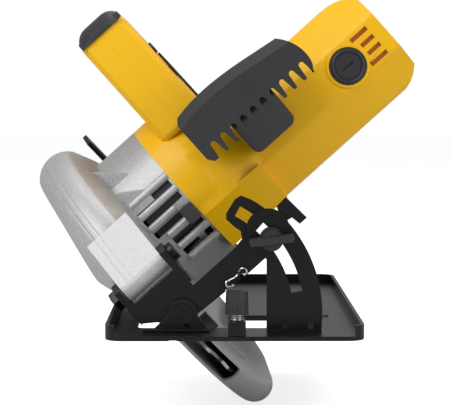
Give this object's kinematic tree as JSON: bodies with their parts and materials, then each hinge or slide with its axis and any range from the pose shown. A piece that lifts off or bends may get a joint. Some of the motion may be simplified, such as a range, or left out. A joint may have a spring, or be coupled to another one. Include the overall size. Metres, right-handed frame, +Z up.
{
  "type": "circular saw",
  "caption": "Hand-held circular saw with a tilting, depth-adjustable head on a steel shoe, swinging lower guard, D-handle with trigger and a front hand grip, leaning for a bevel cut.",
  "frame": {"origin": "middle of the underside of the shoe", "axes": "+X to the motor's side, +Y to the rear of the saw, +Z up from the sole"},
  "size_m": [0.2301, 0.2655, 0.2499],
  "materials": {
    "yellow_plastic": "smooth gloss",
    "black_rubber": "soft matt",
    "dark_plastic": "fine grain",
    "grey_plastic": "fine grain",
    "amber_plastic": "smooth",
    "black_steel": "black coated, semi-gloss",
    "silver_casting": "silver painted casting, satin",
    "cast_aluminium": "cast",
    "ground_steel": "ground",
    "zinc_steel": "plated",
    "spring_steel": "bright drawn wire",
    "lamination_steel": "laminated",
    "copper": "copper",
    "brass": "plain",
    "carbon": "pressed carbon"
  },
  "bodies": {
    "shoe": {"shoe": "black_steel", "front_pivot_bracket": "black_steel", "rear_pivot_bracket": "black_steel", "pivot_rivets": "black_steel", "bevel_quadrant": "black_steel", "fence_clamp_block": "black_steel", "fence_spring": "spring_steel"},
    "fence_screw": {"fence_thumb_screw": "dark_plastic"},
    "bevel_bolt": {"bevel_bolt": "zinc_steel"},
    "bevel_knob": {"bevel_wing_knob": "dark_plastic"},
    "tilt_frame": {"tilt_front_bracket": "black_steel", "depth_pin": "black_steel", "tilt_rear_bracket": "black_steel", "depth_strip": "black_steel"},
    "head": {"upper_guard": "silver_casting", "gear_case": "silver_casting", "air_baffle": "dark_plastic", "bearing_plate": "cast_aluminium", "motor_housing": "yellow_plastic", "field_stator": "lamination_steel", "field_coils": "copper", "armature_bearing_front": "ground_steel", "armature_bearing_rear": "ground_steel", "spindle_bearing_front": "ground_steel", "spindle_bearing_rear": "brass", "brush_holders": "brass", "carbon_brushes": "carbon", "brush_caps": "dark_plastic", "handle_left": "yellow_plastic", "handle_right": "yellow_plastic", "handle_screws": "zinc_steel", "grip_cover": "black_rubber", "side_grip_pad": "black_rubber", "switch_module": "dark_plastic", "cord_gland": "black_rubber", "front_handle": "black_rubber", "front_handle_stem": "dark_plastic", "guard_spring": "spring_steel", "guard_retaining_ring": "zinc_steel", "depth_bolt": "zinc_steel"},
    "armature": {"armature_shaft": "ground_steel", "pinion": "ground_steel", "armature_core": "lamination_steel", "armature_windings": "copper", "commutator": "copper", "cooling_fan": "amber_plastic", "lock_collar": "ground_steel"},
    "spindle": {"spindle": "ground_steel", "drive_gear": "ground_steel", "inner_flange": "zinc_steel", "outer_flange": "zinc_steel", "blade": "ground_steel", "blade_bolt": "zinc_steel"},
    "lower_guard": {"lower_guard": "silver_casting", "guard_lever": "dark_plastic"},
    "trigger": {"trigger": "dark_plastic"},
    "lock_off": {"lock_off_button": "dark_plastic"},
    "spindle_lock": {"spindle_lock_button": "grey_plastic"},
    "depth_lever": {"depth_lever": "dark_plastic"}
  },
  "joints": [
    {"name": "fence_screw_turn", "type": "hinge", "parent": "shoe", "child": "fence_screw", "pos_m": [0.0012, -0.1245, 0.02], "axis": [0, 0, 1], "range_deg": [0, 270]},
    {"name": "bevel_tilt", "type": "hinge", "parent": "shoe", "child": "tilt_frame", "pos_m": [-0.029, 0, 0.012], "axis": [0, 1, 0], "range_deg": [-6, 42]},
    {"name": "bevel_bolt_ride", "type": "hinge", "parent": "shoe", "child": "bevel_bolt", "pos_m": [-0.029, 0, 0.012], "axis": [0, 1, 0], "range_deg": [-3.61, 25.21]},
    {"name": "bevel_knob_turn", "type": "hinge", "parent": "bevel_bolt", "child": "bevel_knob", "pos_m": [0.02043, -0.115, 0.05421], "axis": [0, -1, 0], "range_deg": [0, 90]},
    {"name": "depth_swing", "type": "hinge", "parent": "tilt_frame", "child": "head", "pos_m": [-0.05063, -0.092, 0.03154], "axis": [0.7431, 0, 0.6691], "range_deg": [0, 28]},
    {"name": "depth_lever_turn", "type": "hinge", "parent": "head", "child": "depth_lever", "pos_m": [-0.0215, 0.11088, 0.02908], "axis": [0.7431, 0, 0.6691], "range_deg": [0, 50]},
    {"name": "armature_spin", "type": "hinge", "parent": "head", "child": "armature", "pos_m": [0.01205, 0.012, 0.09942], "axis": [0.7431, 0, 0.6691], "continuous": true},
    {"name": "spindle_spin", "type": "hinge", "parent": "head", "child": "spindle", "pos_m": [-0.0264, 0.012, 0.03452], "axis": [0.7431, 0, 0.6691], "continuous": true},
    {"name": "lower_guard_turn", "type": "hinge", "parent": "head", "child": "lower_guard", "pos_m": [-0.03532, 0.012, 0.02649], "axis": [0.7431, 0, 0.6691], "range_deg": [0, 115], "stiffness_Nm_per_rad": 0.35, "springref_deg": -34.38},
    {"name": "trigger_pull", "type": "hinge", "parent": "head", "child": "trigger", "pos_m": [-0.0627, 0.013, 0.15255], "axis": [0.7431, 0, 0.6691], "range_deg": [0, 7], "stiffness_Nm_per_rad": 1.2, "springref_deg": -11.46},
    {"name": "lock_off_press", "type": "slide", "parent": "head", "child": "lock_off", "axis": [-0.7431, 0, -0.6691], "range_m": [0, 0.002], "stiffness_N_per_m": 900, "springref_m": -0.002},
    {"name": "spindle_lock_press", "type": "slide", "parent": "head", "child": "spindle_lock", "axis": [0, 1, 0], "range_m": [0, 0.0035], "stiffness_N_per_m": 600, "springref_m": -0.002}
  ],
  "couplings": [
    {"joint": "bevel_bolt_ride", "follows": "bevel_tilt", "ratio": 0.6},
    {"joint": "spindle_spin", "follows": "armature_spin", "ratio": -0.25}
  ]
}
